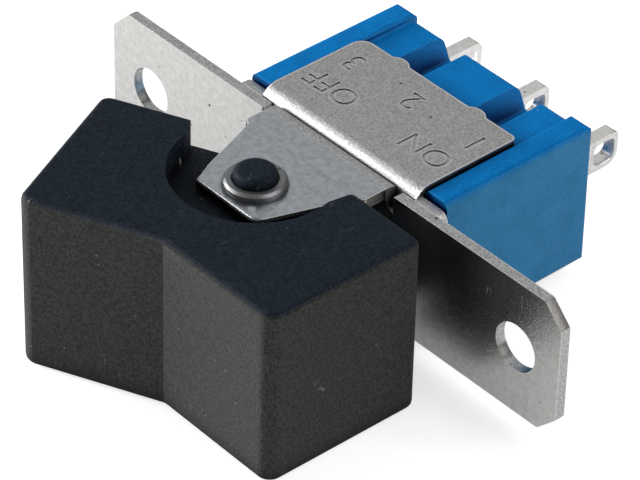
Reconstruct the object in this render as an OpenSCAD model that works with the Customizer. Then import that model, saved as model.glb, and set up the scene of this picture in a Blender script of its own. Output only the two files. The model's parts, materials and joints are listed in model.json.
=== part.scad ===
// Miniature panel-mount rocker switch, single pole, two positions.
// Frame: +X along the mounting plate, +Y from the rocker back to the terminals,
// +Z along the rocker's pivot. The origin is the middle of the plate's front face.

/* [Mounting plate] */
// Length of the plate
plate_length = 30.8; // [26:0.1:40]
// Width of the plate
plate_width = 7.2; // [6.4:0.1:7.6]
// Sheet thickness of the plate and its ears
plate_sheet = 0.55; // [0.4:0.05:0.7]
// Cut across each corner of the plate
plate_corner = 1.1; // [0.4:0.1:1.6]
// Distance between the two fixing holes
hole_pitch = 25.3; // [24:0.1:27]
// Diameter of the fixing holes
hole_d = 2.5; // [2:0.1:3]
// Length of the window that the stem swings in
window_length = 6.2; // [6:0.1:6.6]
// Height of that window
window_height = 3.6; // [3.4:0.1:3.9]

/* [Ears] */
// Height of each ear's outer face above the middle plane
ear_out = 3.83; // [3.75:0.01:3.95]
// How far the ears stand in front of the plate
ear_reach = 6.1; // [5.8:0.1:6.4]
// Width of an ear at its front edge
ear_front_w = 4.2; // [3.2:0.02:4.6]
// Width of an ear at the plate
ear_base_w = 8.1; // [7:0.1:8.2]
// How far each side of an ear steps out at its shoulders
ear_step = 0.3; // [0.1:0.05:0.5]
// Distance of the shoulders in front of the plate
ear_shoulder = 1.45; // [1:0.05:2]
// Radius of an ear's right front corner
ear_corner_r = 0.7; // [0.2:0.1:1]
// Radius of its left front corner, sheared nearly sharp
ear_sharp_r = 0.15; // [0.05:0.05:0.7]
// Inner radius of the bend from plate to ear
ear_bend_r = 0.3; // [0.1:0.05:0.4]
// Wall of the rolled collar round the pivot hole
collar_wall = 0.38; // [0.2:0.02:0.45]
// Height of the rolled collar
collar_h = 0.4; // [0.2:0.05:0.5]

/* [Rocker] */
// Distance of the pivot in front of the plate
pivot_front = 4.34; // [4.2:0.02:4.5]
// Tilt of the rocker to each side of the middle
rocker_tilt = 12; // [10:0.5:13]
// Angle of each finger facet to the rocker's long axis
facet_angle = 12.7; // [8:0.1:15]
// Distance of the crease in front of the pivot
crease_front = 6.7; // [6.2:0.1:7.5]
// Length of each facet
facet_length = 7.27; // [6.5:0.01:8.5]
// Thickness of the rocker behind each facet
rocker_thick = 8.85; // [8.5:0.05:9]
// Height of the rocker, flank to flank
rocker_height = 9.46; // [9.3:0.02:11]
// Radius of the upright edges between facet and end
rocker_end_r = 0.75; // [0.5:0.05:1.6]
// Radius of the upright edges at the back of the ends
rocker_back_r = 0.55; // [0.4:0.05:1]
// Radius along the flanks' edges
rocker_flank_r = 0.36; // [0.2:0.02:0.4]
// Radius of the round pocket in each flank
pocket_r = 4.05; // [4:0.05:4.4]
// Gap between an ear and the floor of its pocket
pocket_gap = 0.15; // [0.1:0.01:0.4]
// Radius of the horns at the mouth of each pocket
horn_r = 0.5; // [0.2:0.05:0.6]
// Radius of the pivot pins
pin_r = 1.05; // [0.8:0.05:1.1]
// Radial clearance of the pins in the ears
pin_clearance = 0.05; // [0.02:0.01:0.1]
// Height of a pin's top above its collar
pin_proud = 0.48; // [0.2:0.02:0.8]
// Wall left round the hollows moulded into the rocker's back
rocker_wall = 1.3; // [1:0.1:1.6]

/* [Stem and plunger] */
// Outside diameter of the stem
stem_d = 3; // [2.8:0.1:3.1]
// Distance of the stem's end behind the pivot
stem_reach = 8.3; // [8:0.1:8.5]
// Diameter of the plunger
plunger_d = 2.06; // [1.9:0.02:2.1]
// Radial clearance of the plunger in the stem
plunger_clearance = 0.05; // [0.02:0.01:0.08]
// Radius of the plunger's round tip
tip_r = 0.75; // [0.6:0.05:0.9]
// Distance of the spring's seat behind the pivot
spring_seat = 3.3; // [3:0.1:3.6]
// Length of the spring as fitted
spring_length = 3.25; // [3:0.05:3.5]
// Outside diameter of the spring
spring_d = 1.9; // [1.7:0.05:1.95]
// Diameter of the spring's wire
spring_wire = 0.26; // [0.2:0.02:0.3]
// Turns of the spring
spring_turns = 6; // [4:1:7]

/* [Housing] */
// Length of the housing along the plate
housing_length = 13.4; // [13:0.02:14]
// Height of the housing over its end ridges
housing_height = 7.72; // [7.7:0.02:8]
// Distance of the housing's back face behind the plate's front
housing_back = 10.45; // [10.2:0.05:12]
// Width of each end ridge
ridge_w = 1.4; // [1:0.02:1.5]
// Radius of the housing's long edges
housing_edge_r = 0.35; // [0.1:0.05:0.45]
// Radius of the rear edge between the end ridges
middle_edge_r = 0.4; // [0.2:0.05:0.6]
// Thickness of the housing's end walls
end_wall = 1.15; // [0.9:0.01:1.3]
// Height of the contact chamber
chamber_height = 3.7; // [3.6:0.05:3.8]
// Distance of the chamber's floor behind the plate's front
chamber_floor = 7.1; // [7.05:0.05:7.5]
// Distance of each groove from the middle
groove_x = 2.6; // [2.3:0.1:2.9]
// Width of a groove at its mouth
groove_w = 1.8; // [1.2:0.1:1.9]
// Depth of a groove
groove_depth = 1.15; // [0.8:0.05:1.15]
// Width of a groove at its floor
groove_floor_w = 0.7; // [0.4:0.1:1]

/* [Frame clip] */
// Sheet thickness of the clip
clip_sheet = 0.5; // [0.4:0.05:0.55]
// How far the clip's web reaches past the housing at each end
web_overhang = 0.25; // [0.1:0.05:0.4]
// Height of the web's corners
web_height = 7.15; // [6.8:0.05:7.2]
// Gap between a leg's side and the housing's end ridge
leg_gap = 0.05; // [0.05:0.01:0.4]
// Height of a leg's outer face above the middle plane
leg_out = 4.05; // [4.03:0.01:4.08]
// Distance of a leg's back edge behind the plate's front
leg_back = 6.92; // [6.6:0.02:7.4]
// Outer radius of the bend from web to leg
leg_bend_r = 0.95; // [0.7:0.05:1]
// Radius of a leg's left back corner
leg_corner_r = 0.7; // [0.2:0.1:1.2]
// Radius of a leg's right back corner, left almost sharp
leg_sharp_r = 0.3; // [0.1:0.1:1.2]
// How far the crimps swell out of a leg's back edge
crimp_swell = 0.26; // [0.1:0.02:0.4]
// Thickness of the insulating liner
liner_sheet = 0.2; // [0.1:0.05:0.25]

/* [Terminals] */
// Distance between neighbouring terminals
terminal_pitch = 4.7; // [4.6:0.05:4.75]
// Thickness of the terminal strip
terminal_sheet = 0.75; // [0.6:0.05:0.8]
// Width of the terminals outside the housing
terminal_w = 1.85; // [1.6:0.05:2.2]
// Height of the terminals' middle line above the middle plane
terminal_rise = 0.25; // [0:0.05:0.4]
// Distance of the terminals' tips behind the plate's front
terminal_back = 13.95; // [13.5:0.05:15]
// Length of the eyelet in each terminal
eyelet_length = 0.95; // [0.6:0.05:1.2]
// Height of the eyelet
eyelet_height = 1.15; // [0.8:0.05:1.2]
// Metal left between eyelet and tip
eyelet_margin = 0.27; // [0.2:0.01:0.5]
// Width of the terminals inside the chamber
seat_w = 2.9; // [2.6:0.1:3]
// Depth of the sealing compound round each terminal
seal_depth = 0.5; // [0.3:0.05:0.8]

/* [Contacts] */
// Thickness of the contact blade
blade_sheet = 0.3; // [0.2:0.02:0.35]
// Length of the contact blade
blade_length = 9.3; // [9:0.05:9.5]
// Width of the contact blade
blade_w = 3; // [2.6:0.1:3.1]
// Tilt of the blade to each side of the middle
blade_tilt = 4; // [3:0.25:4.5]
// Distance of each moving contact from the middle
contact_x = 3.95; // [3.8:0.05:4]
// Radius of a moving contact
contact_r = 0.6; // [0.4:0.05:0.65]
// Thickness of a moving contact
contact_h = 0.4; // [0.3:0.02:0.45]
// Radius of a fixed contact
fixed_contact_r = 0.75; // [0.5:0.05:0.8]
// Gap between a closed pair of contacts
contact_gap = 0.04; // [0.03:0.01:0.1]
// Gap between the plunger's tip and the blade
tip_gap = 0.06; // [0.05:0.01:0.1]

/* [Hidden] */
$fn = 64;
// Extra length of a cut past the faces that it opens
over = 1;
// Sides of each rounded corner of a sheet outline
corner_steps = 6;

// Ears and pivot
ear_in = ear_out - plate_sheet;
ear_bend_z = ear_in - ear_bend_r;
ear_hole_r = pin_r + pin_clearance;
collar_r = ear_hole_r + collar_wall;
relief_w = 0.35;
relief_depth = 0.85;
collar_edge = 0.12;

// Rocker
pocket_floor = ear_in - pocket_gap;
pin_top = ear_out + collar_h + pin_proud;
pin_dome = 0.35;
back_middle = rocker_thick / cos(facet_angle) - crease_front;
horn_flare = 0.55;
cut_past = 0.01;
hollow_start = 3.6;
hollow_round = 0.3;
puck_sides = 32;

// Stem, plunger and spring
stem_bore_r = plunger_d / 2 + plunger_clearance;
spring_play = 0.03;
plunger_back = spring_seat + spring_length + spring_play;
spigot_r = 0.55;
spigot_length = 0.7;
plunger_shoulder = 0.95;
coil_sides = 8;
coil_steps = 18;

// Where the plunger's tip runs over the blade
fulcrum_r = terminal_sheet / 2;
fulcrum_front = 6.1;
fulcrum_y = fulcrum_front + fulcrum_r;
fulcrum_gap = 0.05;
trough_y = fulcrum_front - fulcrum_gap - blade_sheet;
tip_reach = pivot_front + trough_y - tip_gap - tip_r;
// The tip's centre as the blade sees it, with both tilted to their stops
tip_stop = [-tip_reach * sin(rocker_tilt), tip_reach * cos(rocker_tilt) - pivot_front - fulcrum_y];
tip_seen = [tip_stop.x * cos(blade_tilt) - tip_stop.y * sin(blade_tilt),
            tip_stop.x * sin(blade_tilt) + tip_stop.y * cos(blade_tilt)];
tip_drop = (tip_reach - pivot_front - fulcrum_y) - tip_seen.y;
tip_path_r = (tip_seen.x * tip_seen.x + tip_drop * tip_drop) / (2 * tip_drop);
trough_r = tip_path_r + tip_r + tip_gap;

// Blade and contacts
trough_half = 2.6;
wing_start = 3.1;
wing_front = 4.95;
notch_half = 0.62;
notch_depth = 0.45;
prong_w = 0.3;
prong_front = 5.35;
dome_h = 0.15;
dome_r = (contact_r * contact_r + dome_h * dome_h) / (2 * dome_h);
wing_back = wing_front + blade_sheet;
moving_tip_y = wing_back + contact_h;
dome_centre = [-contact_x, moving_tip_y - dome_r - fulcrum_y];
fixed_front = fulcrum_y + dome_centre.x * sin(-blade_tilt) + dome_centre.y * cos(blade_tilt)
            + dome_r + contact_gap;
fixed_back = chamber_floor - terminal_sheet;
fixed_x = contact_x + 0.06;
fixed_edge = 0.1;
seat_inner_x = 3.1;

// Housing and clip
clip_front = plate_sheet;
clip_back = clip_front + clip_sheet;
housing_front = clip_back + liner_sheet;
web_length = housing_length + 2 * web_overhang;
leg_w = housing_length - 2 * (ridge_w + leg_gap);
leg_in = leg_out - clip_sheet;
recess_gap = 0.05;
recess_z = leg_in - recess_gap;
housing_rear_r = 0.3;
mouth_chamfer = 0.3;
chamber_half = housing_length / 2 - end_wall;
web_corner_r = 0.5;
liner_length = housing_length - 2 * ridge_w;
liner_height = 6;
lug_w = 0.8;
lug_depth = 0.5;
lug_length = 0.6;
lug_front = leg_back - lug_length;
seal_length = 3.1;
seal_w = 1.7;
seal_sunk = 0.06;

// Terminal tips
tip_top_r = 0.35;
tip_bottom_r = 0.75;

function unit(v) = v / norm(v);

// Signed turn between two directions, from -180 to 180
function turn_between(from, to) =
    let (d = to - from) d > 180 ? d - 360 : d < -180 ? d + 360 : d;

// Points of an arc of radius r that rounds the corner b between a and c
function corner_arc(a, b, c, r) =
    let (u = unit(a - b),
         w = unit(c - b),
         half = acos(u * w) / 2,
         centre = b + unit(u + w) * r / sin(half),
         first = b + u * r / tan(half) - centre,
         last = b + w * r / tan(half) - centre,
         start = atan2(first.y, first.x),
         turn = turn_between(start, atan2(last.y, last.x)))
    [for (k = [0:corner_steps])
        centre + r * [cos(start + turn * k / corner_steps), sin(start + turn * k / corner_steps)]];

// A closed outline whose corners are rounded by the radii, 0 for a sharp one
function rounded(points, radii) =
    let (n = len(points))
    [for (i = [0:n - 1])
        each radii[i] > 0
            ? corner_arc(points[(i + n - 1) % n], points[i], points[(i + 1) % n], radii[i])
            : [points[i]]];

// A rectangle between two corners
function box_points(low, high) = [low, [high.x, low.y], high, [low.x, high.y]];

// Points of an arc, both ends included
function arc_points(centre, r, from, to, steps = 16) =
    [for (k = [0:steps])
        let (a = from + (to - from) * k / steps) centre + r * [cos(a), sin(a)]];

// An outline in X and Z, thickened along +Y from the plane y = front
module slab(front, depth) {
    translate([0, front + depth, 0])
        rotate([90, 0, 0])
            linear_extrude(depth)
                children();
}

// An outline in Y and Z, thickened along X to both sides of the middle
module bar(length) {
    translate([-length / 2, 0, 0])
        rotate([90, 0, 90])
            linear_extrude(length)
                children();
}

// An outline in X and Y, thickened along Z to both sides of the middle
module layer(height) {
    translate([0, 0, -height / 2])
        linear_extrude(height)
            children();
}

// The rocker's own frame: the pivot at its origin, turned to the resting stop
module on_rocker() {
    translate([0, -pivot_front, 0])
        rotate([0, 0, rocker_tilt])
            children();
}

// The blade's own frame: the fulcrum's axis at its origin, turned to its stop
module on_blade() {
    translate([0, fulcrum_y, 0])
        rotate([0, 0, -blade_tilt])
            translate([0, -fulcrum_y, 0])
                children();
}

// Both of a pair of shapes that mirror each other above and below
module above_and_below() {
    children();
    mirror([0, 0, 1])
        children();
}

// Both of a pair of shapes that mirror each other left and right
module left_and_right() {
    children();
    mirror([1, 0, 0])
        children();
}

// The window in the plate, the web and the liner
module window(front, depth) {
    low = [-window_length / 2, -window_height / 2];
    slab(front - over, depth + 2 * over)
        polygon(rounded(box_points(low, -low), [0.4, 0.4, 0.4, 0.4]));
}

module plate_outline() {
    x = plate_length / 2;
    z = plate_width / 2;
    c = plate_corner;
    polygon(rounded([[x - c, -z], [x, c - z], [x, z - c], [x - c, z],
                     [c - x, z], [-x, z - c], [-x, c - z], [c - x, -z]],
                    [for (i = [1:8]) 0.25]));
}

// Space cleared at a long edge of the plate, where an ear is bent up
module ear_clearing() {
    half = ear_base_w / 2 + relief_w;
    slab(-over, plate_sheet + 2 * over)
        polygon(box_points([-half, plate_width / 2 - relief_depth], [half, plate_width]));
}

// The quarter bend between plate and ear, with the strip that joins it to the plate
module ear_bend() {
    joint_z = plate_width / 2 - relief_depth;
    bend = [-ear_bend_r, ear_bend_z];
    bar(ear_base_w)
        polygon(concat([[plate_sheet, joint_z], [0, joint_z]],
                       [for (p = arc_points(bend, ear_bend_r, 0, 90, 8)) [p.x, p.y]],
                       [for (p = arc_points(bend, ear_bend_r + plate_sheet, 90, 0, 8)) [p.x, p.y]]));
}

module ear_blade() {
    front = ear_front_w / 2;
    base = ear_base_w / 2;
    waist = base - ear_step;
    s = ear_step * 0.6;
    translate([0, 0, ear_in])
        linear_extrude(plate_sheet)
            polygon(rounded([[-base, -ear_bend_r], [-base, -ear_shoulder], [-waist, -ear_shoulder],
                             [-front, -ear_reach], [front, -ear_reach],
                             [waist, -ear_shoulder], [base, -ear_shoulder], [base, -ear_bend_r]],
                            [0, s, s, ear_sharp_r, ear_corner_r, s, s, 0]));
}

// The collar that is rolled up round the pivot hole
module pivot_collar() {
    translate([0, -pivot_front, 0])
        rotate_extrude()
            polygon([[ear_hole_r, ear_in], [collar_r, ear_in],
                     [collar_r, ear_out + collar_h - collar_edge],
                     [collar_r - collar_edge, ear_out + collar_h],
                     [ear_hole_r, ear_out + collar_h]]);
}

module mounting_plate() {
    color([0.80, 0.80, 0.78]) {
        difference() {
            slab(0, plate_sheet)
                plate_outline();
            window(0, plate_sheet);
            for (side = [-1, 1])
                translate([side * hole_pitch / 2, plate_sheet / 2, 0])
                    rotate([90, 0, 0])
                        cylinder(d = hole_d, h = plate_sheet + 2 * over, center = true);
            above_and_below()
                ear_clearing();
        }
        above_and_below() {
            ear_bend();
            difference() {
                ear_blade();
                translate([0, -pivot_front, ear_in - over])
                    cylinder(r = ear_hole_r, h = plate_sheet + 2 * over);
            }
            pivot_collar();
        }
    }
}

// A leg's outline seen from above: a strip with round back corners and two swellings
module leg_outline(front) {
    half = leg_w / 2;
    polygon(rounded([[-half, front], [half, front], [half, leg_back], [-half, leg_back]],
                    [0, 0, leg_sharp_r, leg_corner_r]));
    for (side = [-1, 1])
        translate([side * groove_x, leg_back])
            polygon(arc_points([0, -crimp_swell * 2], crimp_swell * 3, 30, 150, 12));
}

module leg_bend() {
    bend = [clip_front + leg_bend_r, leg_out - leg_bend_r];
    bar(leg_w)
        polygon(concat(arc_points(bend, leg_bend_r, 90, 180, 10),
                       arc_points(bend, leg_bend_r - clip_sheet, 180, 90, 10)));
}

module metal_frame() {
    web_bend = leg_out - leg_bend_r;
    corner = [web_length / 2, web_height / 2];
    color([0.70, 0.70, 0.70]) {
        difference() {
            slab(clip_front, clip_sheet)
                polygon(rounded(box_points(-corner, corner), [for (i = [1:4]) web_corner_r]));
            above_and_below()
                slab(clip_front - over, clip_sheet + 2 * over)
                    polygon(box_points([-leg_w / 2, web_bend], [leg_w / 2, web_height]));
            window(clip_front, clip_sheet);
        }
        above_and_below() {
            leg_bend();
            translate([0, 0, leg_in])
                linear_extrude(clip_sheet)
                    leg_outline(clip_front + leg_bend_r);
            for (side = [-1, 1])
                translate([side * groove_x - lug_w / 2, lug_front, leg_in - lug_depth])
                    cube([lug_w, lug_length, lug_depth]);
        }
    }
}

module insulating_liner() {
    corner = [liner_length / 2, liner_height / 2];
    color([0.85, 0.80, 0.62])
        difference() {
            slab(clip_back, liner_sheet)
                polygon(rounded(box_points(-corner, corner), [for (i = [1:4]) 0.4]));
            window(clip_back, liner_sheet);
        }
}

// The housing's section across the terminals' direction
module housing_section() {
    x = housing_length / 2;
    z = housing_height / 2;
    step = x - ridge_w;
    r = housing_edge_r;
    s = (z - recess_z) / 2;
    polygon(rounded([[-x, -z], [-step, -z], [-step, -recess_z], [step, -recess_z],
                     [step, -z], [x, -z], [x, z], [step, z], [step, recess_z],
                     [-step, recess_z], [-step, z], [-x, z]],
                    [r, s, s, s, s, r, r, s, s, s, s, r]));
}

module groove() {
    floor_z = recess_z - groove_depth;
    mouth_z = housing_height / 2;
    lip = (groove_w - groove_floor_w) / 2 * (mouth_z - floor_z) / groove_depth;
    a = groove_floor_w / 2;
    translate([groove_x, 0, 0])
        slab(lug_front, housing_back)
            polygon(rounded([[-a, floor_z], [a, floor_z], [a + lip, mouth_z], [-a - lip, mouth_z]],
                            [0.2, 0.2, 0, 0]));
}

// What is cut away to round the rear edge between the end ridges
module middle_rear_edge() {
    centre = [housing_back - middle_edge_r, recess_z - middle_edge_r];
    bar(housing_length - 2 * ridge_w)
        polygon(concat(arc_points(centre, middle_edge_r, 0, 90, 6),
                       [[centre.x, recess_z + over], [housing_back + over, recess_z + over],
                        [housing_back + over, centre.y]]));
}

module housing() {
    x = housing_length / 2;
    z = housing_height / 2;
    r = housing_rear_r;
    e = housing_edge_r;
    c = mouth_chamfer;
    color([0.02, 0.38, 0.66])
        difference() {
            intersection() {
                slab(housing_front, housing_back - housing_front)
                    housing_section();
                layer(housing_height)
                    polygon(rounded([[-x, housing_front], [x, housing_front],
                                     [x, housing_back], [-x, housing_back]], [0, 0, r, r]));
                bar(housing_length)
                    polygon(rounded([[housing_front, -z], [housing_back, -z],
                                     [housing_back, z], [housing_front, z]], [0, e, e, 0]));
            }
            above_and_below() {
                left_and_right()
                    groove();
                middle_rear_edge();
                bar(leg_w + 2 * recess_gap)
                    polygon([[housing_front - over, recess_z - c - over],
                             [housing_front + c + recess_gap, recess_z + recess_gap],
                             [housing_front - over, recess_z + recess_gap]]);
            }
            translate([-chamber_half, housing_front - over, -chamber_height / 2])
                cube([2 * chamber_half, chamber_floor - housing_front + over, chamber_height]);
            for (x = [-terminal_pitch, 0, terminal_pitch])
                translate([x, 0, 0]) {
                    terminal_strip(chamber_floor - over, housing_back + over);
                    seal_block(over);
                }
        }
}

// A flat stretch of terminal strip outside the chamber
module terminal_strip(from, to) {
    low = terminal_rise - terminal_w / 2;
    translate([-terminal_sheet / 2, from, low])
        cube([terminal_sheet, to - from, terminal_w]);
}

// The block of compound round a terminal, or with over the well that it fills
module seal_block(extra) {
    front = housing_back - seal_depth;
    depth = seal_depth - seal_sunk;
    low = [-seal_w / 2, terminal_rise - seal_length / 2];
    slab(front, depth + extra)
        polygon(rounded(box_points(low, [-low.x, low.y + seal_length]), [for (i = [1:4]) 0.5]));
}

module seal() {
    color([0.30, 0.16, 0.08])
        difference() {
            seal_block(0);
            terminal_strip(chamber_floor, terminal_back);
        }
}

// The tongue that stands out of the housing, with its round tip and its eyelet
module terminal_tongue() {
    low = terminal_rise - terminal_w / 2;
    high = terminal_rise + terminal_w / 2;
    hole_back = terminal_back - eyelet_margin;
    hole_low = terminal_rise - eyelet_height / 2;
    bar(terminal_sheet)
        difference() {
            polygon(rounded([[chamber_floor, low], [terminal_back, low],
                             [terminal_back, high], [chamber_floor, high]],
                            [0, tip_bottom_r, tip_top_r, 0]));
            polygon(rounded(box_points([hole_back - eyelet_length, hole_low],
                                       [hole_back, hole_low + eyelet_height]),
                            [0.3, 0.4, 0.3, 0.3]));
        }
}

// An outer terminal: its inner end is turned over on the chamber's floor
module outer_terminal() {
    out = terminal_pitch + terminal_sheet / 2;
    color([0.78, 0.77, 0.74]) {
        translate([terminal_pitch, 0, 0])
            terminal_tongue();
        layer(seat_w)
            polygon(rounded([[seat_inner_x, fixed_back], [out, fixed_back],
                             [out, chamber_floor], [seat_inner_x, chamber_floor]],
                            [0.15, terminal_sheet * 0.7, 0, 0]));
    }
}

// The common terminal: its inner end is the rounded ridge that the blade rocks on,
// between two prongs that keep the blade in place
module terminal_common() {
    t = terminal_sheet;
    color([0.78, 0.77, 0.74]) {
        terminal_tongue();
        layer(seat_w)
            polygon(concat([[t / 2, chamber_floor], [-t / 2, chamber_floor]],
                           arc_points([0, fulcrum_y], fulcrum_r, 180, 360)));
        above_and_below()
            translate([-t / 2, prong_front, seat_w / 2 - prong_w])
                cube([t, chamber_floor - prong_front, prong_w]);
    }
}

// A fixed contact, a button on the turned-over end of an outer terminal
module fixed_contact() {
    h = fixed_back - fixed_front;
    color([0.86, 0.86, 0.84])
        translate([fixed_x, fixed_back, 0])
            rotate([90, 0, 0])
                rotate_extrude()
                    polygon([[0, 0], [fixed_contact_r, 0], [fixed_contact_r, h - fixed_edge],
                             [fixed_contact_r - fixed_edge, h], [0, h]]);
}

// The blade's section: a trough that guides the plunger, and two flat wings
module blade_section() {
    centre = [0, trough_y - trough_r];
    reach = asin(trough_half / trough_r);
    wing = blade_length / 2;
    front = arc_points(centre, trough_r, 90 + reach, 90 - reach, 24);
    back = arc_points(centre, trough_r + blade_sheet, 90 - reach, 90 + reach, 24);
    polygon(concat([[-wing, wing_front], [-wing_start, wing_front]], front,
                   [[wing_start, wing_front], [wing, wing_front],
                    [wing, wing_back], [wing_start, wing_back]], back,
                   [[-wing_start, wing_back], [-wing, wing_back]]));
}

module contact_blade() {
    color([0.80, 0.68, 0.40])
        on_blade()
            difference() {
                layer(blade_w)
                    blade_section();
                above_and_below()
                    translate([-notch_half, prong_front - over, blade_w / 2 - notch_depth])
                        cube([2 * notch_half, 2 * over, notch_depth + over]);
            }
}

// A moving contact, a domed button on the back of a wing
module blade_contact(side) {
    color([0.86, 0.86, 0.84])
        on_blade()
            translate([side * contact_x, wing_back, 0])
                rotate([-90, 0, 0])
                    rotate_extrude()
                        polygon(concat([[0, 0], [contact_r, 0]],
                                       arc_points([0, contact_h - dome_r], dome_r,
                                                  asin((dome_r - dome_h) / dome_r), 90, 8)));
}

// A round-edged disc as tall as the rocker, the form of one of its upright edges
module puck(r) {
    z = rocker_height / 2;
    f = rocker_flank_r;
    rotate_extrude($fn = puck_sides)
        polygon(concat([[0, -z]], arc_points([r - f, f - z], f, -90, 0, 4),
                       arc_points([r - f, z - f], f, 0, 90, 4), [[0, z]]));
}

// A place in the rocker, along one facet from the crease and behind it
function facet_place(along, behind) =
    [along * cos(facet_angle) + behind * sin(facet_angle),
     behind * cos(facet_angle) - along * sin(facet_angle) - crease_front];

// One half of the rocker's block, from the crease to its end
module rocker_half() {
    past = -3;
    edge = rocker_flank_r;
    places = [[facet_length - rocker_end_r, rocker_end_r, rocker_end_r],
              [facet_length - rocker_back_r, rocker_thick - rocker_back_r, rocker_back_r],
              [past, edge, edge],
              [past, rocker_thick - edge, edge]];
    intersection() {
        hull()
            for (p = places)
                translate(facet_place(p[0], p[1]))
                    puck(p[2]);
        translate([0, -2 * rocker_height, -rocker_height])
            cube([2 * rocker_height, 4 * rocker_height, 2 * rocker_height]);
    }
}

// The hollow in the back of one half
module rocker_hollow() {
    z = rocker_height / 2 - rocker_wall;
    low = facet_length - rocker_wall;
    translate(facet_place(0, rocker_wall))
        rotate([0, 0, -facet_angle])
            slab(0, rocker_thick)
                polygon(rounded(box_points([hollow_start, -z], [low, z]),
                                [for (i = [1:4]) hollow_round]));
}

// The pocket in the upper flank that the ear lies in, open to the back
module flank_pocket() {
    wide = pocket_r + horn_flare;
    outer = wide + 2 * horn_r;
    horn_y = back_middle + cut_past - wide * tan(facet_angle);
    outer_y = back_middle + cut_past - outer * tan(facet_angle);
    translate([0, 0, pocket_floor])
        linear_extrude(rocker_height) {
            circle(pocket_r);
            polygon(rounded([[-pocket_r, 0], [pocket_r, 0], [wide, horn_y], [outer, outer_y],
                             [outer, rocker_thick], [-outer, rocker_thick],
                             [-outer, outer_y], [-wide, horn_y]],
                            [0, 0, horn_r, 0, 0, 0, 0, horn_r]));
        }
}

// A pivot pin with a domed top
module pivot_pin() {
    rotate_extrude()
        polygon(concat([[0, 0], [pin_r, 0]],
                       arc_points([pin_r - pin_dome, pin_top - pin_dome], pin_dome, 0, 90, 5),
                       [[0, pin_top]]));
}

module rocker() {
    color([0.13, 0.13, 0.14])
        on_rocker() {
            difference() {
                union() {
                    left_and_right()
                        rocker_half();
                    rotate([-90, 0, 0])
                        cylinder(d = stem_d, h = stem_reach);
                }
                above_and_below()
                    flank_pocket();
                left_and_right()
                    rocker_hollow();
                translate([0, spring_seat, 0])
                    rotate([-90, 0, 0])
                        cylinder(r = stem_bore_r, h = stem_reach);
            }
            above_and_below()
                pivot_pin();
        }
}

module plunger() {
    body_r = plunger_d / 2;
    shoulder = tip_reach - plunger_back - tip_r * 0.3;
    color([0.92, 0.90, 0.84])
        on_rocker()
            translate([0, plunger_back, 0])
                rotate([-90, 0, 0]) {
                    rotate_extrude()
                        polygon(concat([[0, 0], [body_r, 0], [body_r, shoulder - plunger_shoulder / 3]],
                                       arc_points([0, tip_reach - plunger_back], tip_r, 0, 90)));
                    translate([0, 0, -spigot_length])
                        cylinder(r = spigot_r, h = spigot_length);
                }
}

// Centre of the spring's wire after a number of turns, from the seat on
function coil_place(turns) =
    let (r = (spring_d - spring_wire) / 2,
         travel = spring_length - spring_wire - spring_play,
         rise = spring_play + spring_wire / 2 + travel * turns / spring_turns)
    [r * cos(360 * turns), r * sin(360 * turns), rise];

// One ring of points round the wire after a number of turns
function coil_ring(turns) =
    let (c = coil_place(turns),
         out = [cos(360 * turns), sin(360 * turns), 0])
    [for (k = [0:coil_sides - 1])
        c + spring_wire / 2 * (cos(360 * k / coil_sides) * out + sin(360 * k / coil_sides) * [0, 0, 1])];

module plunger_spring() {
    rings = spring_turns * coil_steps;
    last = rings * coil_sides;
    points = [for (i = [0:rings]) each coil_ring(i / coil_steps)];
    sides = [for (i = [0:rings - 1], k = [0:coil_sides - 1])
                let (n = (k + 1) % coil_sides,
                     a = i * coil_sides)
                each [[a + k, a + coil_sides + k, a + coil_sides + n],
                      [a + k, a + coil_sides + n, a + n]]];
    ends = [[for (k = [0:coil_sides - 1]) k],
            [for (k = [coil_sides - 1:-1:0]) last + k]];
    color([0.60, 0.61, 0.63])
        on_rocker()
            translate([0, spring_seat, 0])
                rotate([-90, 0, 0])
                    polyhedron(points, concat(sides, ends));
}

mounting_plate();
metal_frame();
insulating_liner();
housing();
rocker();
plunger();
plunger_spring();
contact_blade();
blade_contact(-1);  // blade_contact_left
blade_contact(1);  // blade_contact_right
mirror([1, 0, 0]) outer_terminal();  // terminal_left
terminal_common();
outer_terminal();  // terminal_right
mirror([1, 0, 0]) fixed_contact();  // fixed_contact_left
fixed_contact();  // fixed_contact_right
translate([-terminal_pitch, 0, 0]) seal();  // seal_left
seal();  // seal_common
translate([terminal_pitch, 0, 0]) seal();  // seal_right
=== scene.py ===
"""A miniature rocker switch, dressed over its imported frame: stamped and plated steel,
a moulded blue housing, a fine-grained black rocker and tinned lugs. Lengths are in metres."""

import json
import math

import bpy
from mathutils import Matrix, Vector

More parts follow.
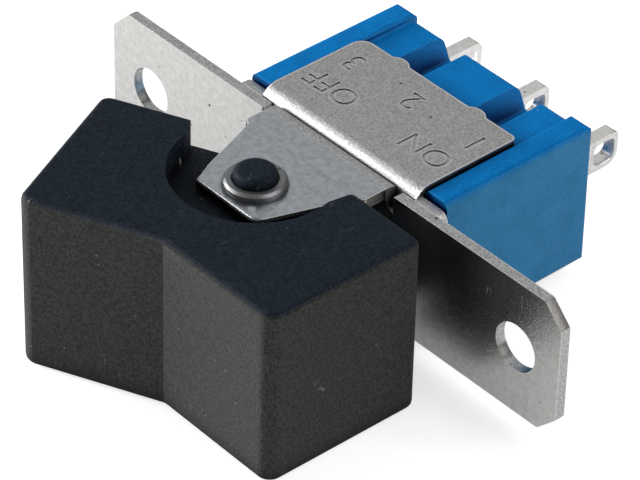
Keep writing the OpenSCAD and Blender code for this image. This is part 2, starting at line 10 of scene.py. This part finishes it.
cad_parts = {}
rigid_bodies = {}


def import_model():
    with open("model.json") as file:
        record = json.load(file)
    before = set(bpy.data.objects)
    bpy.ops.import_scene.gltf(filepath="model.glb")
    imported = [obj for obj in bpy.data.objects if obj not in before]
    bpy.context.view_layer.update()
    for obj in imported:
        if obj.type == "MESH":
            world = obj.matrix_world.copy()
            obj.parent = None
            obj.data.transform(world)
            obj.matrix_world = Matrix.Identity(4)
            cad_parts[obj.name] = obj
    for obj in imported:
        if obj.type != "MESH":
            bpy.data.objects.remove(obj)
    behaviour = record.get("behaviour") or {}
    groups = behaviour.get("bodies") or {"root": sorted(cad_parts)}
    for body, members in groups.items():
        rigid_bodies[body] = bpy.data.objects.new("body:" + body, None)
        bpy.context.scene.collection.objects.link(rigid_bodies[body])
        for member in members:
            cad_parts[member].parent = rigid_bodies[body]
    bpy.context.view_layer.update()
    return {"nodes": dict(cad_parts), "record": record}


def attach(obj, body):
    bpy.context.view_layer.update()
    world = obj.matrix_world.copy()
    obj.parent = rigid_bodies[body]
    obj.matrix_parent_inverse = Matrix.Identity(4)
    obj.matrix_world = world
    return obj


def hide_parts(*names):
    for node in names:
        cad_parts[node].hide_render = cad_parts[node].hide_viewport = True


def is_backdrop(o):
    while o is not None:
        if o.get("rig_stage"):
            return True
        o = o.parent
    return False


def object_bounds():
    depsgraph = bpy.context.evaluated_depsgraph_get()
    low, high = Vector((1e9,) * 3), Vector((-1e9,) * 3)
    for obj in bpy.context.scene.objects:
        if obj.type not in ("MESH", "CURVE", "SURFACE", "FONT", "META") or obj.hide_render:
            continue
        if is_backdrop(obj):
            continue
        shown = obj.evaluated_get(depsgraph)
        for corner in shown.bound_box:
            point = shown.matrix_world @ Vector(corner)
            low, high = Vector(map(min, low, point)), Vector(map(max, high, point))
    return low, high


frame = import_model()

MM = 0.001
NODES = frame["nodes"]

# Where the camera stands: turn and rise about the plate's middle, a slight roll, and the lens
VIEW_TURN = math.radians(47.58)
VIEW_RISE = math.radians(37.66)
VIEW_ROLL = math.radians(1.49)
VIEW_DISTANCE = 189.2 * MM
VIEW_AIM = Vector((-0.34, 0.0, -1.69)) * MM
LENS = 229.3
FILM_WIDTH = 36.0

# The rocker's pivot and how far the walls of its pocket lie from it, in millimetres
PIVOT_Y = -4.34
POCKET_REACH = 4.4

# Widths of eased edges, in millimetres
SHEET_EASE = 0.06
MOULDED_EASE = 0.12
LUG_EASE = 0.07

# Angles between faces, in degrees: where an edge is eased or picked, the rocker's shallow
# crease, and where shading breaks
EASED_ANGLE = 28.0
PICKED_ANGLE = 30.0
CREASE_ANGLE = 22.0
CRISP_ANGLE = 55.0

# The bend from plate to ear: its middle, its outer radius and the half length that is pressed
BEND_Y = -0.3
BEND_OUTER = 0.85
BEND_REACH = 4.2
BEND_ROWS = 8

# The rolled front edge of the ears: where it starts, how deep their tip is, and its width
EAR_FRONT = -5.8
EAR_TIP = 0.15
EAR_ROLL = 0.14

# Stamping: the height and half depth of its letters, and each word with its place
LETTER_SIZE = 1.8
LETTER_DEPTH = 0.05
WORDS = [("ON", 3.3, 3.1), ("OFF", -3.1, 3.1), ("1", 4.3, 5.25), ("2", 0, 5.25), ("3", -4.0, 5.25)]

# The front ends of the lugs' eyelets, and how far they are drawn forward
EYELET_SPAN = (12.6, 13.25)
EYELET_MIDDLE = 0.25
EYELET_HALF = 0.7
EYELET_DRAWN = 0.35


# ---------------------------------------------------------------- materials

def mix_colour(nt, factor, first, second):
    """A colour between two, by a factor socket. Each colour is a tuple or a socket."""
    node = nt.nodes.new("ShaderNodeMix")
    node.data_type = "RGBA"
    nt.links.new(factor, node.inputs["Factor"])
    for value, socket in ((first, node.inputs[6]), (second, node.inputs[7])):
        if isinstance(value, tuple):
            socket.default_value = (*value, 1.0)
        else:
            nt.links.new(value, socket)
    return node.outputs[2]


def remap(nt, value, low, high, to_low=0.0, to_high=1.0):
    """A socket's value, carried smoothly from one span to another and held at its ends."""
    node = nt.nodes.new("ShaderNodeMapRange")
    node.interpolation_type = "SMOOTHSTEP"
    nt.links.new(value, node.inputs["Value"])
    spans = {"From Min": low, "From Max": high, "To Min": to_low, "To Max": to_high}
    for name, number in spans.items():
        node.inputs[name].default_value = number
    return node.outputs["Result"]


def maths(nt, operation, first, second):
    """One operation on two values, each a socket or a number."""
    node = nt.nodes.new("ShaderNodeMath")
    node.operation = operation
    for value, socket in ((first, node.inputs[0]), (second, node.inputs[1])):
        if isinstance(value, (int, float)):
            socket.default_value = value
        else:
            nt.links.new(value, socket)
    return node.outputs["Value"]


class Finish:
    """A surface finish under construction: its shader, and patterns measured in millimetres."""

    def __init__(self, name, metallic=0.0):
        self.material = bpy.data.materials.new(name)
        self.material.use_nodes = True
        self.nt = self.material.node_tree
        self.shader = self.nt.nodes["Principled BSDF"]
        self.shader.inputs["Metallic"].default_value = metallic
        self.place = self.nt.nodes.new("ShaderNodeTexCoord").outputs["Object"]

    def noise(self, grain, detail=3.0, roughness=0.55, place=None):
        """Cloudy noise whose blotches are about as wide as grain, in millimetres."""
        node = self.nt.nodes.new("ShaderNodeTexNoise")
        node.inputs["Scale"].default_value = 1 / (grain * MM)
        node.inputs["Detail"].default_value = detail
        node.inputs["Roughness"].default_value = roughness
        self.nt.links.new(place or self.place, node.inputs["Vector"])
        return node.outputs["Fac"]

    def specks(self, spacing, size, share=1.0):
        """Small round specks: spacing and size in millimetres, and the share kept."""
        node = self.nt.nodes.new("ShaderNodeTexVoronoi")
        node.inputs["Scale"].default_value = 1 / (spacing * MM)
        self.nt.links.new(self.place, node.inputs["Vector"])
        near = remap(self.nt, node.outputs["Distance"], size / spacing, 0.5 * size / spacing)
        pick = self.nt.nodes.new("ShaderNodeSeparateColor")
        self.nt.links.new(node.outputs["Color"], pick.inputs["Color"])
        kept = remap(self.nt, pick.outputs["Red"], share, share * 0.9)
        return maths(self.nt, "MULTIPLY", near, kept)

    def scratches(self, spacing, turn, amount=0.5):
        """Fine broken lines, turned about the three axes by turn degrees."""
        node = self.nt.nodes.new("ShaderNodeMapping")
        node.inputs["Rotation"].default_value = [math.radians(a) for a in turn]
        node.inputs["Scale"].default_value = (1.0, 0.045, 0.045)
        self.nt.links.new(self.place, node.inputs["Vector"])
        lines = self.noise(spacing, 2.0, 0.6, node.outputs["Vector"])
        breaks = self.noise(1.6, 2.0, 0.6)
        thin = remap(self.nt, lines, 0.66, 0.72)
        return maths(self.nt, "MULTIPLY", thin, remap(self.nt, breaks, 1 - amount, 1.05 - amount))

    def edges(self, radius):
        """1 along sharp edges and 0 on the flats, fading over a radius in millimetres."""
        rounded = self.nt.nodes.new("ShaderNodeBevel")
        rounded.samples = 6
        rounded.inputs["Radius"].default_value = radius * MM
        normal = self.nt.nodes.new("ShaderNodeNewGeometry").outputs["Normal"]
        node = self.nt.nodes.new("ShaderNodeVectorMath")
        node.operation = "DOT_PRODUCT"
        self.nt.links.new(rounded.outputs["Normal"], node.inputs[0])
        self.nt.links.new(normal, node.inputs[1])
        return remap(self.nt, node.outputs["Value"], 0.995, 0.85)

    def facing(self, axis, low, high):
        """1 on faces that look along an axis of the piece, either way, and 0 on the others."""
        split = self.nt.nodes.new("ShaderNodeSeparateXYZ")
        own = self.nt.nodes.new("ShaderNodeTexCoord").outputs["Normal"]
        self.nt.links.new(own, split.inputs["Vector"])
        size = maths(self.nt, "ABSOLUTE", split.outputs[axis], 0.0)
        return remap(self.nt, size, low, high)

    def along(self, axis, low, high, both=False):
        """0 before a place on an axis and 1 past another, in millimetres, on one side or both."""
        split = self.nt.nodes.new("ShaderNodeSeparateXYZ")
        self.nt.links.new(self.place, split.inputs["Vector"])
        place = split.outputs[axis]
        if both:
            place = maths(self.nt, "ABSOLUTE", place, 0.0)
        return remap(self.nt, place, low * MM, high * MM)

    def hollows(self, reach):
        """1 deep in gaps and corners narrower than a reach in millimetres, and 0 in the open; the
        mask for painted shade.
        """
        node = self.nt.nodes.new("ShaderNodeAmbientOcclusion")
        node.samples = 8
        node.inputs["Distance"].default_value = reach * MM
        return remap(self.nt, node.outputs["AO"], 0.85, 0.35)

    def ring(self, x, y, inner, outer):
        """1 inside a ring round an upright axis, fading over its rim, all in millimetres."""
        split = self.nt.nodes.new("ShaderNodeSeparateXYZ")
        self.nt.links.new(self.place, split.inputs["Vector"])
        node = self.nt.nodes.new("ShaderNodeCombineXYZ")
        self.nt.links.new(maths(self.nt, "SUBTRACT", split.outputs["X"], x * MM), node.inputs["X"])
        self.nt.links.new(maths(self.nt, "SUBTRACT", split.outputs["Y"], y * MM), node.inputs["Y"])
        reach = self.nt.nodes.new("ShaderNodeVectorMath")
        reach.operation = "LENGTH"
        self.nt.links.new(node.outputs["Vector"], reach.inputs[0])
        return remap(self.nt, reach.outputs["Value"], outer * MM, inner * MM)

    def colour(self, socket):
        self.nt.links.new(socket, self.shader.inputs["Base Color"])

    def roughness(self, value, low, high):
        """Roughness that runs from low to high with a pattern from 0.3 to 0.7."""
        spread = remap(self.nt, value, 0.3, 0.7, low, high)
        self.nt.links.new(spread, self.shader.inputs["Roughness"])

    def relief(self, *layers):
        """Stacks bumps, each a pattern and its height in millimetres."""
        last = None
        for pattern, height in layers:
            bump = self.nt.nodes.new("ShaderNodeBump")
            bump.inputs["Distance"].default_value = height * MM
            self.nt.links.new(pattern, bump.inputs["Height"])
            if last:
                self.nt.links.new(last, bump.inputs["Normal"])
            last = bump.outputs["Normal"]
        self.nt.links.new(last, self.shader.inputs["Normal"])


def plate_steel():
    f = Finish("plate steel", metallic=1.0)
    cloud = f.noise(2.2, 4.0, 0.6)
    mottle = f.noise(0.35, 4.0, 0.7)
    grain = f.noise(0.11, 3.0, 0.75)
    upward = f.facing("Z", 0.5, 0.8)
    plate_edge = maths(f.nt, "MULTIPLY", f.facing("Y", 0.6, 0.3), f.along("Y", -0.2, 0.0))
    ear_edge = maths(f.nt, "MULTIPLY", f.facing("Z", 0.9, 0.5), f.along("Y", -1.2, -1.4))
    sheared = maths(f.nt, "MAXIMUM", plate_edge, ear_edge)
    pits = maths(f.nt, "MAXIMUM", f.specks(0.6, 0.06, 0.14), f.specks(1.7, 0.11, 0.2))
    shade = remap(f.nt, mottle, 0.3, 0.7)
    base = mix_colour(f.nt, shade, (0.58, 0.575, 0.56), (0.705, 0.70, 0.685))
    # Painted shade and reflection: faces looking along Z, chiefly the ears' tops, get a darker,
    # bluer copy of the same steel
    shaded_tops = mix_colour(f.nt, shade, (0.34, 0.36, 0.39), (0.47, 0.49, 0.52))
    base = mix_colour(f.nt, upward, base, shaded_tops)
    torn = mix_colour(f.nt, remap(f.nt, grain, 0.35, 0.65), (0.30, 0.30, 0.30), (0.70, 0.70, 0.69))
    base = mix_colour(f.nt, maths(f.nt, "MULTIPLY", sheared, 0.8), base, torn)
    # Burrs along every sharp edge, lightened further as a painted highlight
    base = mix_colour(f.nt, f.edges(0.1), base, (0.88, 0.87, 0.85))
    # Painted shade: the clipped corners' chamfer faces, looking between X and Z, are darkened
    chamfer_shade = maths(f.nt, "MULTIPLY", f.facing("X", 0.4, 0.55), f.facing("Z", 0.4, 0.55))
    base = mix_colour(f.nt, maths(f.nt, "MULTIPLY", chamfer_shade, 0.8), base, (0.12, 0.11, 0.10))
    # Painted shade: the collar round the pivot is darkened to damp its reflection; the same ring
    # is also made rougher below
    collar = maths(f.nt, "MULTIPLY", f.ring(0, PIVOT_Y, 1.52, 1.58), 0.85)
    base = mix_colour(f.nt, collar, base, (0.20, 0.205, 0.21))
    # Painted shadow: the inner part of the ears' edge faces, below their rolled top, is painted
    # near black
    under = maths(f.nt, "MULTIPLY", ear_edge, f.along("Z", 3.68, 3.58, both=True))
    base = mix_colour(f.nt, under, base, (0.01, 0.01, 0.01))
    # Painted shade: darker grey in gaps and corners narrower than half a millimetre
    base = mix_colour(f.nt, f.hollows(0.5), base, (0.10, 0.10, 0.10))
    f.colour(mix_colour(f.nt, pits, base, (0.10, 0.09, 0.08)))
    rough = maths(f.nt, "MAXIMUM", sheared, maths(f.nt, "MULTIPLY", collar, 0.8))
    worn = remap(f.nt, cloud, 0.0, 1.0, 0.2, 0.45)
    f.roughness(maths(f.nt, "MAXIMUM", worn, rough), 0.20, 0.42)
    f.relief((grain, 0.011), (mottle, 0.008), (f.scratches(0.05, (20, 30, 65), 0.45), -0.003))
    return f.material


def clip_steel():
    f = Finish("clip steel", metallic=1.0)
    cloud = f.noise(1.8, 4.0, 0.6)
    grain = f.noise(0.1, 3.0, 0.75)
    coarse = f.noise(0.28, 3.0, 0.7)
    shade = remap(f.nt, grain, 0.35, 0.65)
    base = mix_colour(f.nt, shade, (0.36, 0.36, 0.355), (0.60, 0.60, 0.595))
    # Painted highlight: a near-white line along the sheet's sharp edges
    base = mix_colour(f.nt, f.edges(0.2), base, (0.97, 0.96, 0.94))
    # Painted shade: near black in gaps and corners
    base = mix_colour(f.nt, f.hollows(0.5), base, (0.02, 0.02, 0.02))
    f.colour(mix_colour(f.nt, f.specks(1.5, 0.1, 0.2), base, (0.10, 0.10, 0.10)))
    bend = f.facing("Y", 0.2, 0.5)
    f.roughness(maths(f.nt, "MAXIMUM", cloud, bend), 0.30, 0.46)
    f.relief((grain, 0.026), (coarse, 0.010), (f.scratches(0.06, (0, 10, -40), 0.5), -0.004))
    return f.material


def housing_plastic():
    f = Finish("housing plastic")
    cloud = f.noise(1.4, 4.0, 0.6)
    grain = f.noise(0.1, 3.0, 0.6)
    share = maths(f.nt, "MULTIPLY", cloud, 0.4)
    mixed = maths(f.nt, "ADD", share, maths(f.nt, "MULTIPLY", grain, 0.6))
    fleck = remap(f.nt, mixed, 0.4, 0.6)
    base = mix_colour(f.nt, fleck, (0.0, 0.15, 0.44), (0.002, 0.20, 0.56))
    # Painted sheen: the end faces, past 6.6 mm either way, get a greyer, lighter copy of the blue
    ends = mix_colour(f.nt, fleck, (0.012, 0.17, 0.36), (0.035, 0.22, 0.45))
    base = mix_colour(f.nt, f.along("X", 6.6, 6.68, both=True), base, ends)
    gloss = remap(f.nt, f.facing("Z", 0.7, 0.95), 0.0, 1.0, 0.15, 0.04)
    f.nt.links.new(gloss, f.shader.inputs["Specular IOR Level"])
    # Painted shade: deep blue-black in gaps, grooves and corners
    base = mix_colour(f.nt, f.hollows(2.2), base, (0.0, 0.006, 0.06))
    # Painted highlight: a lighter blue along sharp edges
    base = mix_colour(f.nt, f.edges(0.12), base, (0.02, 0.25, 0.58))
    f.colour(mix_colour(f.nt, f.specks(0.9, 0.06, 0.2), base, (0.25, 0.42, 0.58)))
    f.roughness(cloud, 0.36, 0.5)
    f.relief((grain, 0.008), (cloud, 0.02))
    return f.material


def rocker_plastic():
    f = Finish("rocker plastic")
    f.shader.inputs["Specular IOR Level"].default_value = 0.15
    cloud = f.noise(2.2, 4.0, 0.6)
    grain = f.noise(0.15, 4.0, 0.85)
    fleck = remap(f.nt, grain, 0.42, 0.58)
    # Painted light: one black plastic in lit and shaded copies; the flanks, looking along Z, get a
    # dark blue-black shaded copy, the other faces a lighter grey lit copy, and the facet looking
    # straight along Y a lighter one still
    side = mix_colour(f.nt, fleck, (0.0, 0.004, 0.009), (0.010, 0.018, 0.030))
    front = mix_colour(f.nt, fleck, (0.018, 0.018, 0.017), (0.052, 0.052, 0.050))
    lit_facet = mix_colour(f.nt, fleck, (0.032, 0.032, 0.031), (0.068, 0.068, 0.066))
    front = mix_colour(f.nt, f.facing("Y", 0.93, 0.98), front, lit_facet)
    base = mix_colour(f.nt, f.facing("Z", 0.75, 0.35), side, front)
    # Painted highlight: a lighter line along sharp edges
    base = mix_colour(f.nt, f.edges(0.12), base, (0.040, 0.041, 0.043))
    # Painted shade: within the pocket's reach of the pivot, the darker flank colour
    base = mix_colour(f.nt, f.ring(0, PIVOT_Y, POCKET_REACH, POCKET_REACH + 0.15), base, side)
    # Painted shade: near black in the pocket and other hollows
    base = mix_colour(f.nt, f.hollows(2.0), base, (0.0, 0.0, 0.001))
    scuffs = f.scratches(0.05, (15, 25, 30), 0.40)
    dust = maths(f.nt, "MAXIMUM", f.specks(0.8, 0.055, 0.25), scuffs)
    f.colour(mix_colour(f.nt, dust, base, (0.20, 0.20, 0.19)))
    f.roughness(grain, 0.5, 0.7)
    f.relief((grain, 0.03), (cloud, 0.02))
    return f.material


def terminal_tin():
    f = Finish("tinned terminal", metallic=1.0)
    cloud = f.noise(0.5, 4.0, 0.7)
    base = mix_colour(f.nt, remap(f.nt, cloud, 0.3, 0.7), (0.72, 0.71, 0.69), (0.90, 0.89, 0.87))
    base = mix_colour(f.nt, f.specks(0.5, 0.08, 0.2), base, (0.24, 0.20, 0.17))
    # Painted shade: dark brown in gaps and corners
    base = mix_colour(f.nt, f.hollows(0.7), base, (0.16, 0.12, 0.10))
    # Painted highlight: a pale line along sharp edges
    f.colour(mix_colour(f.nt, f.edges(0.1), base, (0.92, 0.91, 0.89)))
    f.roughness(cloud, 0.22, 0.42)
    f.relief((cloud, 0.03), (f.noise(0.12, 3.0, 0.6), 0.01))
    return f.material


def plain_finish(name, dark, light, rough, metallic, height):
    """A finish for a piece that lies inside: two shades of cloud, a grain and lighter edges."""
    f = Finish(name, metallic)
    cloud = f.noise(0.8, 4.0, 0.6)
    base = mix_colour(f.nt, remap(f.nt, cloud, 0.3, 0.7), dark, light)
    brighter = tuple(min(1.0, c * 1.25) for c in light)
    f.colour(mix_colour(f.nt, f.edges(0.08), base, brighter))
    f.roughness(cloud, rough - 0.08, rough + 0.08)
    f.relief((f.noise(0.1, 3.0, 0.6), height))
    return f.material


# What lies inside: its two shades, how rough it is, and whether it is metal
INNER_FINISHES = {
    "liner_sheet": ((0.60, 0.52, 0.34), (0.72, 0.64, 0.44), 0.7, 0.0),
    "plunger_nylon": ((0.74, 0.71, 0.62), (0.82, 0.79, 0.70), 0.4, 0.0),
    "spring_steel": ((0.42, 0.43, 0.45), (0.58, 0.59, 0.61), 0.3, 1.0),
    "blade_brass": ((0.66, 0.48, 0.20), (0.78, 0.60, 0.28), 0.32, 1.0),
    "contact_silver": ((0.74, 0.73, 0.70), (0.86, 0.85, 0.83), 0.25, 1.0),
    "seal_compound": ((0.10, 0.035, 0.015), (0.17, 0.065, 0.03), 0.4, 0.0),
}
SEAL_GRAIN = 0.02
INNER_GRAIN = 0.004


def all_finishes():
    """One finish for each material slot of the record."""
    finishes = {
        "plate_steel": plate_steel(),
        "clip_steel": clip_steel(),
        "housing_plastic": housing_plastic(),
        "rocker_plastic": rocker_plastic(),
        "terminal_tin": terminal_tin(),
    }
    for slot, (dark, light, rough, metallic) in INNER_FINISHES.items():
        height = SEAL_GRAIN if slot == "seal_compound" else INNER_GRAIN
        name = slot.replace("_", " ")
        finishes[slot] = plain_finish(name, dark, light, rough, metallic, height)
    return finishes


def slot_of():
    """The material slot of each node."""
    return {part["node"]: part["material_slot"] for part in frame["record"]["subparts"]}


def finish_nodes(finishes):
    """Gives every node of the frame its finish."""
    for node, slot in slot_of().items():
        mesh = NODES[node].data
        mesh.materials.clear()
        mesh.materials.append(finishes[slot])


# ---------------------------------------------------------------- pieces

def deselect_all():
    for other in bpy.data.objects:
        other.select_set(False)


def make_active(piece):
    deselect_all()
    piece.select_set(True)
    bpy.context.view_layer.objects.active = piece


def merged_copy(node, name, finish):
    """A copy of a node as one clean shell, ready for shaping."""
    piece = NODES[node].copy()
    piece.data = NODES[node].data.copy()
    piece.name = name
    for key in [k for k in piece.keys() if k.startswith("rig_")]:
        del piece[key]
    piece.parent = None
    bpy.context.scene.collection.objects.link(piece)
    make_active(piece)
    bpy.ops.object.mode_set(mode="EDIT")
    bpy.ops.mesh.select_all(action="SELECT")
    bpy.ops.mesh.remove_doubles(threshold=0.0005 * MM)
    bpy.ops.mesh.dissolve_limited(angle_limit=math.radians(1.0))
    bpy.ops.object.mode_set(mode="OBJECT")
    piece.data.materials.clear()
    piece.data.materials.append(finish)
    return piece


def pick(piece, kind, chosen):
    """Selects the vertices that a test picks, or the sharp edges between them, in edit mode."""
    make_active(piece)
    bpy.ops.object.mode_set(mode="EDIT")
    bpy.ops.mesh.select_mode(type=kind)
    bpy.ops.mesh.select_all(action="DESELECT")
    if kind == "EDGE":
        bpy.ops.mesh.edges_select_sharp(sharpness=math.radians(PICKED_ANGLE))
    bpy.ops.object.mode_set(mode="OBJECT")
    corners = piece.data.vertices
    if kind == "VERT":
        for corner in corners:
            corner.select = chosen(corner.co / MM)
    else:
        for edge in piece.data.edges:
            edge.select = edge.select and all(chosen(corners[v].co / MM) for v in edge.vertices)
    bpy.ops.object.mode_set(mode="EDIT")


def round_edges(piece, chosen, width):
    """Rounds the edges whose two ends a test picks, by a width in millimetres."""
    pick(piece, "EDGE", chosen)
    bpy.ops.mesh.bevel(offset=width * MM, segments=4, affect="EDGES")
    bpy.ops.object.mode_set(mode="OBJECT")


def draw_out(piece, shift, chosen):
    """Moves the vertices that a test picks, in millimetres."""
    pick(piece, "VERT", chosen)
    bpy.ops.transform.translate(value=[step * MM for step in shift])
    bpy.ops.object.mode_set(mode="OBJECT")


def ease(piece, width, segments=2, sharp=EASED_ANGLE):
    """Eases every edge past an angle, by a width in millimetres, and levels the flats."""
    make_active(piece)
    bevel = piece.modifiers.new("eased edges", "BEVEL")
    bevel.width = width * MM
    bevel.segments = segments
    bevel.limit_method = "ANGLE"
    bevel.angle_limit = math.radians(sharp)
    bpy.ops.object.modifier_apply(modifier=bevel.name)
    level_faces(piece)


def level_faces(piece):
    """Shades a piece smooth and its flats level, and keeps its steep edges crisp."""
    make_active(piece)
    bpy.ops.mesh.customdata_custom_splitnormals_clear()
    bpy.ops.object.shade_smooth_by_angle(angle=math.radians(CRISP_ANGLE))
    level = piece.modifiers.new("level faces", "WEIGHTED_NORMAL")
    level.mode = "FACE_AREA"
    level.weight = 100
    level.keep_sharp = True
    bpy.ops.object.modifier_apply(modifier=level.name)


def square_bend(piece, bend_z):
    """Presses the outside of both ears' bends into a corner, row by row of vertices.
    The middle of a bend lies at bend_z millimetres, above and below."""
    for step in range(1, BEND_ROWS):
        turn = math.radians(90.0 * step / BEND_ROWS)
        back, out = math.cos(turn), math.sin(turn)
        shift = ((back ** 7 + out ** 7) ** (-1 / 7) - 1) * BEND_OUTER
        row = Vector((BEND_Y + BEND_OUTER * back, bend_z + BEND_OUTER * out))
        for side in (-1, 1):
            draw_out(piece, (0, shift * back, side * shift * out),
                     lambda p: (Vector((p.y, side * p.z)) - row).length < 0.01
                     and abs(p.x) < BEND_REACH)


def stamp(piece, words):
    """Presses plain words into a piece's top, to be read from the terminals' side."""
    top = max(v.co.z for v in piece.data.vertices)
    punches = []
    for text, x, y in words:
        deselect_all()
        bpy.ops.object.text_add()
        punch = bpy.context.active_object
        punch.data.body = text
        punch.data.size = LETTER_SIZE * MM
        punch.data.align_x = "CENTER"
        punch.data.align_y = "CENTER"
        punch.data.extrude = LETTER_DEPTH * MM
        punch.data.resolution_u = 4
        bpy.ops.object.convert(target="MESH")
        place = Matrix.Translation((x * MM, y * MM, top))
        punch.data.transform(place @ Matrix.Rotation(math.pi, 4, "Z"))
        punches.append(punch)
    deselect_all()
    for punch in punches:
        punch.select_set(True)
    bpy.context.view_layer.objects.active = punches[0]
    bpy.ops.object.join()
    make_active(piece)
    cut = piece.modifiers.new("stamping", "BOOLEAN")
    cut.operation = "DIFFERENCE"
    cut.object = punches[0]
    bpy.ops.object.modifier_apply(modifier=cut.name)
    bpy.data.objects.remove(punches[0])
    level_faces(piece)


def stand_in(piece, node, body):
    """The piece takes a node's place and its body."""
    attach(piece, body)
    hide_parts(node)


# What the floor adds to its own look: as the camera sees it, and mirrored in metal
FLOOR_SEEN = 0.6
FLOOR_MIRRORED = 0.2


def stage():
    """A pale floor under the lower flank, which looks white straight on and in bright metal."""
    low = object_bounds()[0][2]
    bpy.ops.mesh.primitive_plane_add(size=1.6, location=(0, 0, low))
    floor = bpy.context.active_object
    floor.name = "floor"
    f = Finish("floor paper")
    f.colour(mix_colour(f.nt, f.noise(8.0, 3.0, 0.6), (0.90, 0.90, 0.90), (0.92, 0.92, 0.92)))
    f.shader.inputs["Roughness"].default_value = 0.9
    glow = f.nt.nodes.new("ShaderNodeEmission")
    path = f.nt.nodes.new("ShaderNodeLightPath")
    total = f.nt.nodes.new("ShaderNodeAddShader")
    seen = maths(f.nt, "MULTIPLY", path.outputs["Is Camera Ray"], FLOOR_SEEN)
    mirrored = maths(f.nt, "MULTIPLY", path.outputs["Is Glossy Ray"], FLOOR_MIRRORED)
    f.nt.links.new(maths(f.nt, "MAXIMUM", seen, mirrored), glow.inputs["Strength"])
    f.nt.links.new(f.shader.outputs["BSDF"], total.inputs[0])
    f.nt.links.new(glow.outputs["Emission"], total.inputs[1])
    f.nt.links.new(total.outputs["Shader"], f.nt.nodes["Material Output"].inputs["Surface"])
    floor.data.materials.append(f.material)
    floor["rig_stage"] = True


def lamp(name, direction, distance, width, height, power):
    """A soft lamp that looks at the object from a direction."""
    data = bpy.data.lights.new(name, "AREA")
    data.shape = "RECTANGLE"
    data.size = width
    data.size_y = height
    data.energy = power
    source = bpy.data.objects.new(name, data)
    bpy.context.scene.collection.objects.link(source)
    away = Vector(direction).normalized()
    source.location = away * distance
    source.rotation_euler = away.to_track_quat("Z", "Y").to_euler()


# Each lamp: its name, direction, distance, width and height in metres, and power in watts
LAMPS = [
    ("left softbox", (-0.86, -0.48, 0.16), 0.45, 0.26, 0.20, 3.2),
    ("front accent", (-0.58, -0.61, 0.53), 0.45, 0.16, 0.16, 0.3),
    ("back softbox", (-0.50, 0.46, 0.73), 0.60, 0.60, 0.60, 0.42),
    ("right softbox", (0.70, 0.30, 0.65), 0.45, 0.30, 0.30, 0.85),
]
# Strength of the sky on the object, and as the camera sees it
SKY_LIGHT = 0.27
SKY_SEEN = 1.0


def lights():
    """The lamps, and a sky that is even and white behind the object."""
    for each in LAMPS:
        lamp(*each)
    world = bpy.data.worlds.new("studio")
    world.use_nodes = True
    nt = world.node_tree
    sky = nt.nodes["Background"]
    path = nt.nodes.new("ShaderNodeLightPath")
    strength = remap(nt, path.outputs["Is Camera Ray"], 0.0, 1.0, SKY_LIGHT, SKY_SEEN)
    nt.links.new(strength, sky.inputs["Strength"])
    sky.inputs["Color"].default_value = (1, 1, 1, 1)
    bpy.context.scene.world = world


def camera():
    """A long lens above and in front, turned a little about its own axis."""
    right = Vector((math.cos(VIEW_TURN), math.sin(VIEW_TURN), 0))
    back = Vector((math.sin(VIEW_TURN) * math.cos(VIEW_RISE),
                   -math.cos(VIEW_TURN) * math.cos(VIEW_RISE), math.sin(VIEW_RISE)))
    up = back.cross(right)
    across = right * math.cos(VIEW_ROLL) + up * math.sin(VIEW_ROLL)
    upright = up * math.cos(VIEW_ROLL) - right * math.sin(VIEW_ROLL)
    data = bpy.data.cameras.new("camera")
    data.lens = LENS
    data.sensor_width = FILM_WIDTH
    data.clip_start = 0.01
    view = bpy.data.objects.new("camera", data)
    bpy.context.scene.collection.objects.link(view)
    turn = Matrix((across, upright, back)).transposed().to_4x4()
    view.matrix_world = Matrix.Translation(VIEW_AIM + back * VIEW_DISTANCE) @ turn
    bpy.context.scene.camera = view


camera()
lights()
stage()
finishes = all_finishes()
finish_nodes(finishes)

plate = merged_copy("mounting_plate", "plate_with_ears", finishes["plate_steel"])
ear_tip = min(v.co.y for v in plate.data.vertices) + EAR_TIP * MM
ear_top = max(v.co.z for v in plate.data.vertices if v.co.y < ear_tip) / MM
square_bend(plate, ear_top - BEND_OUTER)
round_edges(plate, lambda p: abs(abs(p.z) - ear_top) < 0.01 and p.y < EAR_FRONT, EAR_ROLL)
ease(plate, SHEET_EASE)
stand_in(plate, "mounting_plate", "base")

clip = merged_copy("metal_frame", "clip", finishes["clip_steel"])
ease(clip, SHEET_EASE)
stamp(clip, WORDS)
stand_in(clip, "metal_frame", "base")

shell = merged_copy("housing", "moulded_housing", finishes["housing_plastic"])
ease(shell, MOULDED_EASE, segments=3)
stand_in(shell, "housing", "base")

lever = merged_copy("rocker", "moulded_rocker", finishes["rocker_plastic"])
ease(lever, SHEET_EASE, segments=3, sharp=CREASE_ANGLE)
stand_in(lever, "rocker", "rocker")

for side in ("left", "common", "right"):
    lug = merged_copy("terminal_" + side, "lug_" + side, finishes["terminal_tin"])
    draw_out(lug, (0, -EYELET_DRAWN, 0),
             lambda p: EYELET_SPAN[0] < p.y < EYELET_SPAN[1]
             and abs(p.z - EYELET_MIDDLE) < EYELET_HALF)
    ease(lug, LUG_EASE, segments=3)
    stand_in(lug, "terminal_" + side, "base")

bpy.context.scene.view_settings.view_transform = "Standard"
